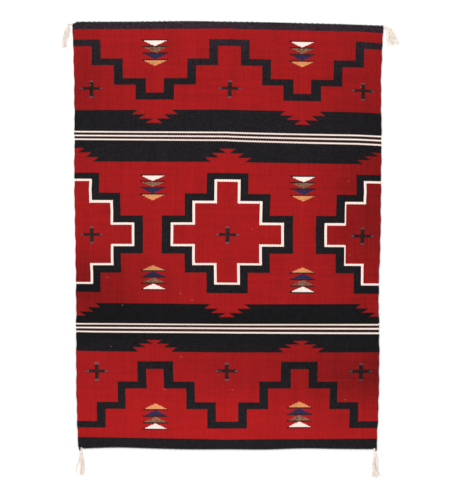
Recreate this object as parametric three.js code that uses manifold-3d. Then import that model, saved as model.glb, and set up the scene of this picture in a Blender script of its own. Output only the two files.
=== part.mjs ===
// A woven wool rug lying flat and face up, in millimetres.
// X runs across the warps, Y along them, and the floor is z = 0.
import * as THREE from "three";
import Module from "manifold-3d";

const wasm = await Module();
wasm.setup();
const { Manifold, Mesh } = wasm;

// Cloth: one flat slab, its face ribbed by the warps under the weft
const WARPS = 242;
const RIB_TOP = 3.6;
const RIB_VALLEY = 3.05;
const LIP_TOP = 1.9; // the outermost line of the cloth, half way up the last yarn
const UNDERCUT = 0.8; // the flat underside stands in from the outline by this
const SCALLOP = 0.4; // each warp's turn stands out from the end by this
const ROWS = [0, 0.003, 0.2, 0.4, 0.6, 0.8, 0.997, 1];
const SIDE_STEPS = 64;
const UNDER_STRIDE = 4; // ribs' points skipped along the underside's ends

// Outline, read by eye at even steps, with the cords at the ends: the sides going up, the ends
// going right
const SIDES = [
  { left: -372.5, right: 374.5 },
  { left: -376.5, right: 378 },
  { left: -377.5, right: 378.5 },
  { left: -377.5, right: 377 },
  { left: -379, right: 381.5 },
  { left: -380, right: 381 },
  { left: -381.5, right: 384 },
  { left: -382, right: 383.5 },
  { left: -387.5, right: 389 },
];
const ENDS = [
  { bottom: -533.5, top: 532.5 },
  { bottom: -531, top: 532.5 },
  { bottom: -533, top: 533 },
  { bottom: -535.5, top: 534 },
  { bottom: -535.5, top: 532.5 },
  { bottom: -535.5, top: 531 },
  { bottom: -533.5, top: 528.5 },
  { bottom: -534.5, top: 526 },
  { bottom: -535.5, top: 523 },
];
const CORNER_DROP = 6.5; // the top left corner is rounded off by this
const CORNER_SHARE = 0.03;
const SIDE_WAVE = 0.45; // the sides' small wander
const WAVE_COUNTS = [13, 29];

// Edging cords, twined along the two ends
const CORD_RADIUS = 1.3;
const CORD_SWELL = 0.15; // each turn of the twist stands out by this
const CORD_SIDES = 6;
const GAP = 0.35;
const TOP_TURNS = 57;
const TOP_STEPS_PER_TURN = 3;
const BOTTOM_TURNS = 118;
const BOTTOM_STEPS_PER_TURN = 2;
const TOP_CORD_X = [-387.5, 389.5];
const BOTTOM_CORD_X = [-363.2, 364.8];

// Ends of the side cords, which leave the cloth at its lower corners
const TAIL_X = [-369.5, 371.5];
const TAIL_LENGTH = 6.8;
const TAIL_RADIUS = 2;
const TAIL_TIP_RADIUS = 1.2;

// Tassels: a short tie, a knot and a fan of loose strands
const STRAND_HALF = 0.6;
const STRAND_TIP_HALF = 0.5;
const STRAND_STEPS = 8;
const TIE_HALF = 1.2;
const KNOT_HALF_HEIGHT = 2.3;
const KNOT_SEGMENTS = 16;

// Each from the point where it leaves its corner. The fan's middle line runs through the
// sections, as wide to each side as spread says. The reach is each strand's share of that line.
// A stray strand leaves the fan and has its own line.
const TASSELS = [
  {
    name: "tassel_top_left",
    root: [-388.1, 527.2],
    tie: [[0, 0], [-4, 1.2], [-8, 1.2], [-11, -1.5]],
    knot: { at: [-10, 0], half: [3.6, 2.8] },
    sections: [
      { at: [-10.2, 0], spread: 1.4 },
      { at: [-12.8, -15], spread: 3.8 },
      { at: [-15.7, -28], spread: 4.6 },
      { at: [-17.9, -41], spread: 5.5 },
      { at: [-18.6, -63], spread: 7.8 },
    ],
    reach: [0.98, 1, 0.96, 0.98, 0.93, 0.95],
    strays: [[[-7.6, 0], [-6.4, -12], [-7.4, -23], [-8.6, -33]]],
  },
  {
    name: "tassel_top_right",
    root: [390.1, 520.3],
    tie: [[0, 0], [3, 0.6], [6, 0]],
    knot: { at: [4.4, -0.2], half: [3.6, 3.8] },
    sections: [
      { at: [5, -0.3], spread: 2.4 },
      { at: [9.4, -2.4], spread: 3.8 },
      { at: [14, -8.5], spread: 5.3 },
      { at: [17.4, -15.5], spread: 6.6 },
      { at: [20.8, -25], spread: 9 },
      { at: [24.2, -44], spread: 13.6 },
    ],
    reach: [0.98, 0.93, 0.9, 0.87, 0.82, 0.8, 0.94],
    strays: [[[3.4, -2.6], [5, -9], [6.2, -15], [7, -21], [8.6, -27]]],
  },
  {
    name: "tassel_bottom_left",
    root: [-365.3, -532.6],
    tie: [[0, 0], [0, -5], [-0.8, -10]],
    knot: { at: [-1.5, -12.4], half: [4.2, 5.6] },
    sections: [
      { at: [-1.5, -14], spread: 2.4 },
      { at: [-0.6, -28], spread: 4.2 },
      { at: [0, -42], spread: 4.9 },
      { at: [1, -67], spread: 5.4 },
    ],
    reach: [0.87, 1, 0.95, 1, 0.96, 0.88],
    strays: [
      [[-4, -14], [-7.6, -29], [-12.6, -46], [-13.4, -56], [-10.8, -62], [-6.6, -63.8]],
      [[1.2, -14], [5.6, -28], [7, -42], [8.4, -53], [12.2, -60.5]],
    ],
  },
  {
    name: "tassel_bottom_right",
    root: [367.2, -535.2],
    tie: [[0, 0], [0.3, -4], [0.8, -8]],
    knot: { at: [1.2, -10.4], half: [4.2, 4.4] },
    sections: [
      { at: [1.2, -12], spread: 3 },
      { at: [2.4, -24], spread: 5.4 },
      { at: [2, -38], spread: 7 },
      { at: [1.8, -55], spread: 9.4 },
      { at: [2.4, -73], spread: 12.2 },
    ],
    reach: [0.98, 0.91, 0.93, 0.95, 1, 0.94, 0.93, 0.84],
    strays: [],
  },
];

const lerp = THREE.MathUtils.lerp;

// Reads one column of a table of even steps smoothly, at t from 0 to 1
function along(rows, column, t) {
  const values = rows.map((row) => row[column]);
  const place = t * (values.length - 1);
  const i = Math.min(Math.floor(place), values.length - 2);
  const f = place - i;
  const before = values[Math.max(i - 1, 0)];
  const after = values[Math.min(i + 2, values.length - 1)];
  const [a, b] = [values[i], values[i + 1]];
  const rise = b - a;
  const leave = (b - before) / 2;
  const arrive = (after - a) / 2;
  return a + f * (leave + f * (3 * rise - 2 * leave - arrive + f * (leave + arrive - 2 * rise)));
}

const wave = (v, shift) =>
  SIDE_WAVE * WAVE_COUNTS.reduce((sum, n, k) => sum + Math.sin(2 * Math.PI * n * v + shift + k), 0);

const leftX = (v) => along(SIDES, "left", v) + wave(v, 0);
const rightX = (v) => along(SIDES, "right", v) + wave(v, 2);

function topY(u) {
  const near = Math.max(0, 1 - u / CORNER_SHARE);
  return along(ENDS, "top", u) - CORNER_DROP * near * near;
}

const bottomY = (u) => along(ENDS, "bottom", u);

// The cloth itself ends inside the cords
const CORD_ROOM = 2 * CORD_RADIUS + CORD_SWELL + GAP + SCALLOP;

function clothPoint(u, v) {
  const x = lerp(leftX(v), rightX(v), u);
  const y = lerp(bottomY(u) + CORD_ROOM, topY(u) - CORD_ROOM, v);
  return [x, y];
}

// A mesh gathered point by point
class Gather {
  constructor() {
    this.points = [];
    this.faces = [];
  }
  point(x, y, z) {
    this.points.push(x, y, z);
    return this.points.length / 3 - 1;
  }
  face(a, b, c) {
    this.faces.push(a, b, c);
  }
  // Joins two lines of points, [index, place] each, the first on the right of the second
  zip(right, left) {
    let i = 0;
    let j = 0;
    while (i < right.length - 1 || j < left.length - 1) {
      const rightNext = i < right.length - 1 ? right[i + 1][1] : Infinity;
      const leftNext = j < left.length - 1 ? left[j + 1][1] : Infinity;
      if (rightNext <= leftNext) {
        this.face(right[i][0], right[i + 1][0], left[j][0]);
        i += 1;
      } else {
        this.face(right[i][0], left[j + 1][0], left[j][0]);
        j += 1;
      }
    }
  }
  solid() {
    return new Manifold(
      new Mesh({
        numProp: 3,
        vertProperties: new Float32Array(this.points),
        triVerts: new Uint32Array(this.faces),
      }),
    );
  }
}

// The ribbed face, with the sides' finer steps joined to its first and last rib
function clothSolid() {
  const g = new Gather();
  const columns = 2 * WARPS;
  const last = ROWS.length - 1;
  const grid = [];
  for (let i = 1; i < columns; i += 1) {
    const u = i / columns;
    const crest = i % 2 === 1;
    const line = ROWS.map((v, j) => {
      const end = j === 0 || j === last;
      const [x, y] = clothPoint(u, v);
      const out = end && crest ? Math.sign(v - 0.5) * SCALLOP : 0;
      const z = end ? LIP_TOP : crest ? RIB_TOP : RIB_VALLEY;
      return [g.point(x, y + out, z), v];
    });
    grid.push(line);
  }
  const side = (u) => {
    const line = [];
    for (let k = 0; k <= SIDE_STEPS; k += 1) {
      const v = k / SIDE_STEPS;
      const [x, y] = clothPoint(u, v);
      line.push([g.point(x, y, LIP_TOP), v]);
    }
    return line;
  };
  const left = side(0);
  const right = side(1);
  for (let i = 0; i < grid.length - 1; i += 1) g.zip(grid[i + 1], grid[i]);
  g.zip(grid[0], left);
  g.zip(right, grid[grid.length - 1]);

  // The flat underside and the short slope up to the outline
  const under = (u, v, inX, inY) => {
    const [x, y] = clothPoint(u, v);
    return g.point(x + inX * UNDERCUT, y + inY * UNDERCUT, 0);
  };
  const sideUnder = (u, inX) => {
    const line = [];
    for (let k = 0; k <= SIDE_STEPS; k += 1) {
      const v = k / SIDE_STEPS;
      line.push([under(u, v, inX, k === 0 ? 1 : k === SIDE_STEPS ? -1 : 0), v]);
    }
    return line;
  };
  const leftUnder = sideUnder(0, 1);
  const rightUnder = sideUnder(1, -1);
  const endUnder = (v, inY, first, final) => {
    const line = [[first, 0]];
    for (let i = UNDER_STRIDE; i < columns; i += UNDER_STRIDE) {
      line.push([under(i / columns, v, 0, inY), i / columns]);
    }
    line.push([final, 1]);
    return line;
  };
  const bottomUnder = endUnder(0, 1, leftUnder[0][0], rightUnder[0][0]);
  const topUnder = endUnder(1, -1, leftUnder[SIDE_STEPS][0], rightUnder[SIDE_STEPS][0]);
  const endLine = (j, first, final) => [
    [first, 0],
    ...grid.map((line, i) => [line[j][0], (i + 1) / columns]),
    [final, 1],
  ];
  const bottomLine = endLine(0, left[0][0], right[0][0]);
  const topLine = endLine(last, left[SIDE_STEPS][0], right[SIDE_STEPS][0]);
  g.zip(bottomUnder, bottomLine);
  g.zip(topLine, topUnder);
  g.zip(left, leftUnder);
  g.zip(rightUnder, right);
  const ring = [
    ...bottomUnder.map((p) => p[0]),
    ...rightUnder.slice(1).map((p) => p[0]),
    ...topUnder.slice(0, -1).reverse().map((p) => p[0]),
    ...leftUnder.slice(1, -1).reverse().map((p) => p[0]),
  ];
  const flat = ring.map((k) => new THREE.Vector2(g.points[3 * k], g.points[3 * k + 1]));
  THREE.ShapeUtils.triangulateShape(flat, []).forEach(([a, b, c]) => {
    g.face(ring[a], ring[c], ring[b]);
  });
  return g.solid();
}

// A yarn or cord lying level along [x, y] points, its many-sided section flat side down
function yarn(points, halfAt, sides, floorAt) {
  const g = new Gather();
  const rings = points.map(([x, y], k) => {
    const [x0, y0] = points[Math.max(k - 1, 0)];
    const [x1, y1] = points[Math.min(k + 1, points.length - 1)];
    const length = Math.hypot(x1 - x0, y1 - y0);
    const across = [-(y1 - y0) / length, (x1 - x0) / length];
    const half = halfAt(k);
    const reach = half / Math.cos(Math.PI / sides);
    const ring = [];
    for (let s = 0; s < sides; s += 1) {
      const turn = (2 * Math.PI * (s + 0.5)) / sides - Math.PI / 2;
      const out = reach * Math.cos(turn);
      const up = floorAt + half + reach * Math.sin(turn);
      ring.push(g.point(x + across[0] * out, y + across[1] * out, up));
    }
    return ring;
  });
  rings.slice(1).forEach((ring, k) => {
    const before = rings[k];
    ring.forEach((_, s) => {
      const t = (s + 1) % sides;
      g.face(before[s], ring[t], ring[s]);
      g.face(before[s], before[t], ring[t]);
    });
  });
  const final = rings[rings.length - 1];
  for (let s = 1; s < sides - 1; s += 1) {
    g.face(rings[0][0], rings[0][s + 1], rings[0][s]);
    g.face(final[0], final[s], final[s + 1]);
  }
  return g.solid();
}

// A twined cord between two x places, following an end's outline on its inner side
function endCord([from, to], outline, inward, turns, stepsPerTurn) {
  const points = [];
  const steps = turns * stepsPerTurn;
  const reach = CORD_RADIUS + CORD_SWELL / 2;
  const v = inward > 0 ? 0 : 1;
  for (let k = 0; k <= steps; k += 1) {
    const x = lerp(from, to, k / steps);
    const u = THREE.MathUtils.clamp((x - leftX(v)) / (rightX(v) - leftX(v)), 0, 1);
    points.push([x, outline(u) + inward * reach]);
  }
  const half = (k) => CORD_RADIUS + (CORD_SWELL / 2) * Math.cos((2 * Math.PI * k) / stepsPerTurn);
  return yarn(points, half, CORD_SIDES, 0);
}

function tail(x, u) {
  const start = bottomY(u) + CORD_ROOM - SCALLOP - GAP;
  const steps = 4;
  const points = [];
  for (let k = 0; k <= steps; k += 1) points.push([x, start - (TAIL_LENGTH * k) / steps]);
  return yarn(points, (k) => lerp(TAIL_RADIUS, TAIL_TIP_RADIUS, (k / steps) ** 2), CORD_SIDES, 0);
}

// Even steps along a smooth line through hand-set points
function smooth(points, steps) {
  const curve = new THREE.CatmullRomCurve3(
    points.map(([x, y]) => new THREE.Vector3(x, y, 0)),
    false,
    "centripetal",
  );
  return curve.getSpacedPoints(steps).map((p) => [p.x, p.y]);
}

// One strand's points: its place across the fan, from -1 to 1, kept along the fan's sections
function fanLine(sections, place, share) {
  const middle = smooth(sections.map((row) => row.at), STRAND_STEPS * 4);
  const steps = middle.length - 1;
  const points = [];
  for (let k = 0; k <= STRAND_STEPS; k += 1) {
    const t = (k / STRAND_STEPS) * share;
    const i = Math.min(Math.floor(t * steps), steps - 1);
    const [x0, y0] = middle[i];
    const [x1, y1] = middle[i + 1];
    const length = Math.hypot(x1 - x0, y1 - y0);
    const out = place * along(sections, "spread", t);
    const f = t * steps - i;
    points.push([
      lerp(x0, x1, f) - ((y1 - y0) / length) * out,
      lerp(y0, y1, f) + ((x1 - x0) / length) * out,
    ]);
  }
  return points;
}

function strand(points) {
  const half = (k) => lerp(STRAND_HALF, STRAND_TIP_HALF, k / STRAND_STEPS);
  return yarn(points, half, 4, 0);
}

function tassel({ root, tie, knot, sections, reach, strays }) {
  const bodies = reach.map((share, k) =>
    strand(fanLine(sections, (2 * k) / (reach.length - 1) - 1, share)),
  );
  strays.forEach((points) => bodies.push(strand(smooth(points, STRAND_STEPS))));
  bodies.push(yarn(smooth(tie, 4), () => TIE_HALF, CORD_SIDES, 0));
  bodies.push(
    Manifold.sphere(1, KNOT_SEGMENTS)
      .scale([...knot.half, KNOT_HALF_HEIGHT])
      .translate([...knot.at, KNOT_HALF_HEIGHT]),
  );
  return Manifold.union(bodies).translate([...root, 0]);
}

function meshOf(name, solid) {
  const { vertProperties, triVerts, numProp, numVert } = solid.getMesh();
  const positions = new Float32Array(3 * numVert);
  for (let i = 0; i < numVert; i += 1) {
    positions.set(vertProperties.subarray(i * numProp, i * numProp + 3), 3 * i);
  }
  const geometry = new THREE.BufferGeometry();
  geometry.setAttribute("position", new THREE.BufferAttribute(positions, 3));
  geometry.setIndex(new THREE.BufferAttribute(new Uint32Array(triVerts), 1));
  const mesh = new THREE.Mesh(geometry);
  mesh.name = name;
  return mesh;
}

const rug = new THREE.Group();
rug.add(meshOf("rug", clothSolid()));
rug.add(meshOf("end_cord_top", endCord(TOP_CORD_X, topY, -1, TOP_TURNS, TOP_STEPS_PER_TURN)));
rug.add(
  meshOf("end_cord_bottom", endCord(BOTTOM_CORD_X, bottomY, 1, BOTTOM_TURNS, BOTTOM_STEPS_PER_TURN)),
);
rug.add(meshOf("side_cord_tail_left", tail(TAIL_X[0], 0)));
rug.add(meshOf("side_cord_tail_right", tail(TAIL_X[1], 1)));
TASSELS.forEach((t) => rug.add(meshOf(t.name, tassel(t))));

export default rug;
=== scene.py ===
# %% [markdown]
# # A woven wool rug with corner tassels
#
# The rug is tapestry weave: soft wool weft packed so tightly over stiff warps that only the weft
# shows. Each warp makes a low rib along the length, and each pick of weft makes a small bead on
# every second rib. The pattern isn't printed on it. It is made of those beads, so every slanting
# edge is a stair of beads and every line is a whole number of them thick.
#
# The lesson therefore builds the cloth's real form from mesh code, and draws the pattern in the
# material with the same counting that a weaver uses. Sizes in the tables are in millimetres.

# %% Load the frame
import math

import bpy
import numpy as np
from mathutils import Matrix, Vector


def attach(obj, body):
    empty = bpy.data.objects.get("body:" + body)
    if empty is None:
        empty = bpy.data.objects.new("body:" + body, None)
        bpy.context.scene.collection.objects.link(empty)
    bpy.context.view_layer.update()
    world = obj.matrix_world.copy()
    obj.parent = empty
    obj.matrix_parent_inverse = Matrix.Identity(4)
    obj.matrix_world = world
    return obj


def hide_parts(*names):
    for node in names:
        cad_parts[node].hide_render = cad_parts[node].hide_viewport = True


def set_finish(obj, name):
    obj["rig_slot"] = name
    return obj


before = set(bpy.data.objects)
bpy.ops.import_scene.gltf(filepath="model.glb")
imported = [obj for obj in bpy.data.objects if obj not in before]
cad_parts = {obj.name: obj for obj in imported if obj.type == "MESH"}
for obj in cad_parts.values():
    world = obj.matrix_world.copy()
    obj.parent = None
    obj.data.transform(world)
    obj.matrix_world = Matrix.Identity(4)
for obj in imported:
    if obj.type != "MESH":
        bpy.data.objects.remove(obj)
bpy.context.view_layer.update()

MM = 0.001
TAU = 2 * math.pi
UP = np.array([0.0, 0.0, 1.0])
scene = bpy.context.scene
print("loaded", sorted(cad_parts))

# %% [markdown]
# ## The camera
#
# The rug is seen from straight above, as for a catalogue. A long lens could be set far off for a
# flatter look, but the cloth is flat anyway, so a plain 85 mm lens three metres up does as well.
# The rug isn't quite in the middle of the picture, so the camera stands a little to one side of it.

# %% Camera
LENS = 85
SENSOR = 36
VIEW_LONG = 1.25
VIEW_CENTRE = (0.015, -0.0375)
FACE_HEIGHT = 3.4 * MM

camera_data = bpy.data.cameras.new("camera")
camera_data.lens = LENS
camera_data.sensor_width = SENSOR
camera = bpy.data.objects.new("camera", camera_data)
camera.location = (*VIEW_CENTRE, FACE_HEIGHT + VIEW_LONG * LENS / SENSOR)
scene.collection.objects.link(camera)
scene.camera = camera
print("camera at", tuple(round(x, 3) for x in camera.location))

# %% [markdown]
# ## Floor and light
#
# The rug lies on a plain pale floor under soft light from all round, with a broad lamp from the
# upper left that just picks out the ribs and the yarns of the tassels. One hard lamp would show
# the weave better, but it would put dark edges round the cloth, and there are none here.

# %% Floor and light
FLOOR_DROP = 0.3 * MM
FLOOR_HALF = 120.0
FLOOR_COLOUR = (0.93, 0.93, 0.93, 1)
FLOOR_ROUGHNESS = 0.9
FLOOR_GLOSS = 0.1
SKY_STRENGTH = 0.78
LAMPS = [
    {"name": "key_lamp", "at": (-2.1, 2.3, 3.4), "size": 2.2, "watts": 92},
    {"name": "fill_lamp", "at": (2.6, -1.6, 3.0), "size": 2.6, "watts": 30},
]


def floor():
    """One wide square, so far out that its edges never show."""
    square = [(-1, -1), (1, -1), (1, 1), (-1, 1)]
    corners = [(x * FLOOR_HALF, y * FLOOR_HALF, -FLOOR_DROP) for x, y in square]
    mesh = bpy.data.meshes.new("floor")
    mesh.from_pydata(corners, [], [(0, 1, 2, 3)])
    material = bpy.data.materials.new("pale_floor")
    material.use_nodes = True
    shader = material.node_tree.nodes["Principled BSDF"]
    shader.inputs["Base Color"].default_value = FLOOR_COLOUR
    shader.inputs["Roughness"].default_value = FLOOR_ROUGHNESS
    shader.inputs["Specular IOR Level"].default_value = FLOOR_GLOSS
    mesh.materials.append(material)
    made = bpy.data.objects.new("floor", mesh)
    scene.collection.objects.link(made)


def lamp(name, at, size, watts):
    """A round lamp that shines at the middle of the rug."""
    data = bpy.data.lights.new(name, "AREA")
    data.shape = "DISK"
    data.size = size
    data.energy = watts
    made = bpy.data.objects.new(name, data)
    made.location = at
    made.rotation_euler = Vector(at).to_track_quat("Z", "Y").to_euler()
    scene.collection.objects.link(made)


floor()
for row in LAMPS:
    lamp(**row)
world = bpy.data.worlds.new("soft_room")
world.use_nodes = True
world.node_tree.nodes["Background"].inputs["Color"].default_value = (1, 1, 1, 1)
world.node_tree.nodes["Background"].inputs["Strength"].default_value = SKY_STRENGTH
scene.world = world
scene.view_settings.view_transform = "Standard"
print("floor and", len(LAMPS), "lamps")

# %% [markdown]
# ## The cloth's outline
#
# No hand-woven rug is a true rectangle. The weaver's tension changes as the cloth grows, so this
# one is widest at the top and narrows toward the bottom, and its top edge falls to the right. The
# outline could be drawn as a curve object, but a short table read at any place is easier to use
# for the cloth, the edges and the cords alike. Its rows run up the sides, or to the right along the
# ends, at even steps, and include the cords. Each was measured in a photo of the rug.

# %% Outline
SIDES = [
    {"left": -374.3, "right": 373.8},
    {"left": -378, "right": 378.5},
    {"left": -378.7, "right": 379.6},
    {"left": -379, "right": 378.4},
    {"left": -381.1, "right": 382.8},
    {"left": -383.3, "right": 384.1},
    {"left": -382.9, "right": 385.2},
    {"left": -383.9, "right": 384.3},
    {"left": -387.5, "right": 389.3},
]
ENDS = [
    {"bottom": -534.2, "top": 533.4},
    {"bottom": -531.4, "top": 533.4},
    {"bottom": -533.9, "top": 533.9},
    {"bottom": -536.1, "top": 534.9},
    {"bottom": -536, "top": 533.4},
    {"bottom": -536.5, "top": 531.9},
    {"bottom": -533.8, "top": 529.4},
    {"bottom": -535, "top": 526.9},
    {"bottom": -535.6, "top": 523.6},
]
CORNER_DROP = 5.4
CORNER_SHARE = 0.024
SIDE_WANDER = 0.45
WANDER_COUNTS = (13, 29)


def smooth_step(a, b, leave, arrive, f):
    """From a to b, at share f of the way, with the slopes that it leaves and arrives with."""
    rise = b - a
    return a + f * (leave + f * (3 * rise - 2 * leave - arrive + f * (leave + arrive - 2 * rise)))


def column(rows, name):
    """One column of a table."""
    return np.array([row[name] for row in rows], float)


def along(rows, name, t):
    """Reads one column of a table of even steps smoothly, at t from 0 to 1."""
    values = column(rows, name)
    last = len(values) - 1
    place = np.clip(np.asarray(t, float), 0, 1) * last
    i = np.minimum(place.astype(int), last - 1)
    a, b = values[i], values[i + 1]
    leave = (b - values[np.maximum(i - 1, 0)]) / 2
    arrive = (values[np.minimum(i + 2, last)] - a) / 2
    return smooth_step(a, b, leave, arrive, place - i)


def wander(v, shift):
    """The small even unevenness of a side."""
    return SIDE_WANDER * sum(np.sin(TAU * n * v + shift + k) for k, n in enumerate(WANDER_COUNTS))


def left_x(v):
    """The four sides follow: x for a share of the length, or y for a share of the width."""
    return along(SIDES, "left", v) + wander(v, 0)


def right_x(v):
    return along(SIDES, "right", v) + wander(v, 2)


def bottom_y(u):
    return along(ENDS, "bottom", u)


def top_y(u):
    near = np.maximum(0, 1 - u / CORNER_SHARE)
    return along(ENDS, "top", u) - CORNER_DROP * near**2


print("cloth is about", round(float(right_x(0.5) - left_x(0.5))), "mm wide")

# %% [markdown]
# ## Counting the weave
#
# A weaver places the pattern by counting warps across and picks upward, so this lesson counts the
# same way: X in warps from the middle, and Y in beads from the middle line. On the real cloth the
# counts aren't evenly spaced, because the beating was firmer in some rows and the right side sags.
# Two short tables say where some counts lie. Their numbers were set after measuring where
# the figures' edges lie in a photo of the rug. A plain even grid would be simpler, but the stripes
# would lose their bow and the lower figures would sit too far out.

# %% Where the counts lie
WARPS = 242
# beads up from the middle, and the height of that row at the left, the middle and the right
ROW_LINES = [
    {"beads": 329, "left": 533.3, "middle": 533.3, "right": 525.3},
    {"beads": 319, "left": 514, "middle": 516, "right": 507.5},
    {"beads": 302, "left": 488.8, "middle": 490, "right": 482.5},
    {"beads": 263, "left": 424.5, "middle": 424.7, "right": 418.5},
    {"beads": 232, "left": 375.8, "middle": 376.8, "right": 370},
    {"beads": 210, "left": 342, "middle": 342, "right": 335.5},
    {"beads": 191, "left": 311.6, "middle": 313.7, "right": 306.3},
    {"beads": 158, "left": 262.6, "middle": 260.7, "right": 253},
    {"beads": 142, "left": 234.5, "middle": 231.4, "right": 221.3},
    {"beads": 111, "left": 184, "middle": 183.5, "right": 177.5},
    {"beads": 93, "left": 154.5, "middle": 154, "right": 149},
    {"beads": 61, "left": 106.3, "middle": 102.5, "right": 99.2},
    {"beads": 28, "left": 46, "middle": 46.8, "right": 45},
    {"beads": 0, "left": 1.5, "middle": 1, "right": -3.5},
    {"beads": -28, "left": -42, "middle": -42.5, "right": -44},
    {"beads": -61, "left": -90.5, "middle": -90, "right": -92.5},
    {"beads": -93, "left": -139, "middle": -142.5, "right": -144.5},
    {"beads": -111, "left": -169.4, "middle": -173.7, "right": -172.9},
    {"beads": -131, "left": -201, "middle": -205.5, "right": -203.5},
    {"beads": -142, "left": -216.2, "middle": -217.6, "right": -217.8},
    {"beads": -158, "left": -245.5, "middle": -248.3, "right": -250.3},
    {"beads": -191, "left": -287.5, "middle": -291.3, "right": -291.3},
    {"beads": -210, "left": -330, "middle": -330, "right": -331.5},
    {"beads": -242, "left": -383.3, "middle": -383.4, "right": -383},
    {"beads": -268, "left": -425.1, "middle": -427.5, "right": -426.5},
    {"beads": -302, "left": -481.8, "middle": -483.5, "right": -482.5},
    {"beads": -319, "left": -504.5, "middle": -512.6, "right": -509.8},
    {"beads": -337, "left": -533, "middle": -535.5, "right": -535},
]
ROW_STATION = 369
RIGHT_SAG_POWER = 0.75
# past this share of the way to the right side, the upper rows droop by up to this much more
DROOP_START = 0.84
RIGHT_DROOP = 2.2
DROOP_POWER = 1.5
DROOP_FULL_ROW = 190
# beads up from the middle, and the place across of the three warps in COLUMN_COUNTS there
COLUMN_COUNTS = {"left": -58, "middle": 0, "right": 58}
COLUMN_LINES = [
    {"beads": 330, "left": -183, "middle": 5, "right": 188},
    {"beads": 280, "left": -180.3, "middle": 5.4, "right": 186.3},
    {"beads": 257, "left": -181.5, "middle": 5.5, "right": 187.2},
    {"beads": 217, "left": -181.7, "middle": 4.3, "right": 187},
    {"beads": 150, "left": -184, "middle": 1, "right": 187.5},
    {"beads": 72, "left": -187.5, "middle": -0.3, "right": 191.3},
    {"beads": 48, "left": -187.4, "middle": -0.8, "right": 189},
    {"beads": 10, "left": -186.6, "middle": -1.2, "right": 186},
    {"beads": -36, "left": -187.3, "middle": -2.4, "right": 187},
    {"beads": -75, "left": -185, "middle": -1.8, "right": 189},
    {"beads": -150, "left": -184, "middle": -2, "right": 186},
    {"beads": -217, "left": -181.5, "middle": -4, "right": 181},
    {"beads": -253, "left": -179.4, "middle": -1.8, "right": 180},
    {"beads": -330, "left": -181, "middle": -1, "right": 179},
]


def row_heights(x):
    """The count and the height at x of every row in ROW_LINES, lowest row first."""
    names = ("beads", "left", "middle", "right")
    counts, left, middle, right = (column(ROW_LINES, name)[::-1] for name in names)
    t = x / ROW_STATION
    if t < 0:
        return counts, middle + (left - middle) * -t
    droop = RIGHT_DROOP * max(0, (t - DROOP_START) / (1 - DROOP_START)) ** DROOP_POWER
    heights = middle + (right - middle) * t**RIGHT_SAG_POWER
    return counts, heights - droop * np.clip(counts / DROOP_FULL_ROW, 0, 1) ** 2


def beads_up(x, y):
    """Y, in beads, of points that share one x."""
    counts, heights = row_heights(x)
    return np.interp(y, heights, counts)


def height_of(x, beads):
    """The other way: y of counts in beads, all at one x."""
    counts, heights = row_heights(x)
    return np.interp(beads, counts, heights)


def place_across(warps, beads, left, right):
    """X of a warp, counted from the middle, where the cloth's sides are at left and right."""
    rows = COLUMN_LINES[::-1]
    lines = [column(rows, name) for name in COLUMN_COUNTS]
    inner = [np.interp(beads, column(rows, "beads"), line) for line in lines]
    counts = [-WARPS / 2, *COLUMN_COUNTS.values(), WARPS / 2]
    places = [left, *inner, right]
    made = left
    for k in range(len(counts) - 1):
        share = np.clip((warps - counts[k]) / (counts[k + 1] - counts[k]), 0, 1)
        made = made + share * (places[k + 1] - places[k])
    return made


print("beads along the middle:", round(float(beads_up(0, 530) - beads_up(0, -530))))

# %% [markdown]
# ## The cloth
#
# The cloth is a closed sheet, ribbed above and below, because the weft swells over every warp on
# both faces. It could be a flat plane with the ribs in the bump alone, but a low light, a side view
# and the saved mesh would all show it as card. So the mesh has four steps across each rib above
# and two below. Along the ribs it is nearly straight and needs few rows. Each rib gets its own
# height, as hand-spun weft isn't even. The beads are 1.6 mm long and there are 160,000 of them, so
# they are left to the bump.
#
# Two maps go with the mesh. Weave counts ribs and beads, and OFBake lays the two faces side by
# side without overlap.

# %% Mesh helpers
def new_piece(name, points, faces, maps):
    """A smooth mesh piece. Each map is an array of one (u, v) for each corner of each face."""
    mesh = bpy.data.meshes.new(name)
    mesh.from_pydata(np.asarray(points) * MM, [], faces)
    for title, corners in maps.items():
        layer = mesh.uv_layers.new(name=title)
        layer.data.foreach_set("uv", np.asarray(corners, np.float32).ravel())
    mesh.polygons.foreach_set("use_smooth", np.ones(len(mesh.polygons), bool))
    mesh.update()
    made = bpy.data.objects.new(name, mesh)
    scene.collection.objects.link(made)
    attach(made, "root")
    triangles = sum(len(face) - 2 for face in faces)
    print(name, "has", triangles, "triangles")
    return made


def four_corners(grid):
    """What a grid of points holds at the four corners of each of its cells."""
    return grid[:-1, :-1], grid[1:, :-1], grid[1:, 1:], grid[:-1, 1:]


def grid_faces(index, flip=False):
    """Faces between the points of a grid of indices, four corners each."""
    a, b, c, d = four_corners(index)
    corners = [a, d, c, b] if flip else [a, b, c, d]
    return np.stack(corners, axis=-1).reshape(-1, 4).tolist()


def tube_faces(index, flip=False):
    """Faces of a tube from its rings, one in each row of indices, and a face to close each end."""
    loop = np.concatenate([index, index[:, :1]], axis=1)
    first, last = index[0].tolist(), index[-1].tolist()
    ends = [first, last[::-1]] if flip else [first[::-1], last]
    return grid_faces(loop, flip) + ends


def zipped(near, near_place, far, far_place):
    """Faces that join two lines of points with different spacing, the near line on the right."""
    faces = []
    i = j = 0
    while i < len(near) - 1 or j < len(far) - 1:
        near_next = near_place[i + 1] if i < len(near) - 1 else math.inf
        far_next = far_place[j + 1] if j < len(far) - 1 else math.inf
        if near_next <= far_next:
            faces.append([near[i], near[i + 1], far[j]])
            i += 1
        else:
            faces.append([near[i], far[j + 1], far[j]])
            j += 1
    return faces


# %% One face of the sheet
RIB_TOP = 3.6
RIB_VALLEY = 3.05
RIB_SPREAD = 0.16
RIB_ROUND = 0.7
UNDER_CREST = 0.0
UNDER_VALLEY = 0.45
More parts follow.
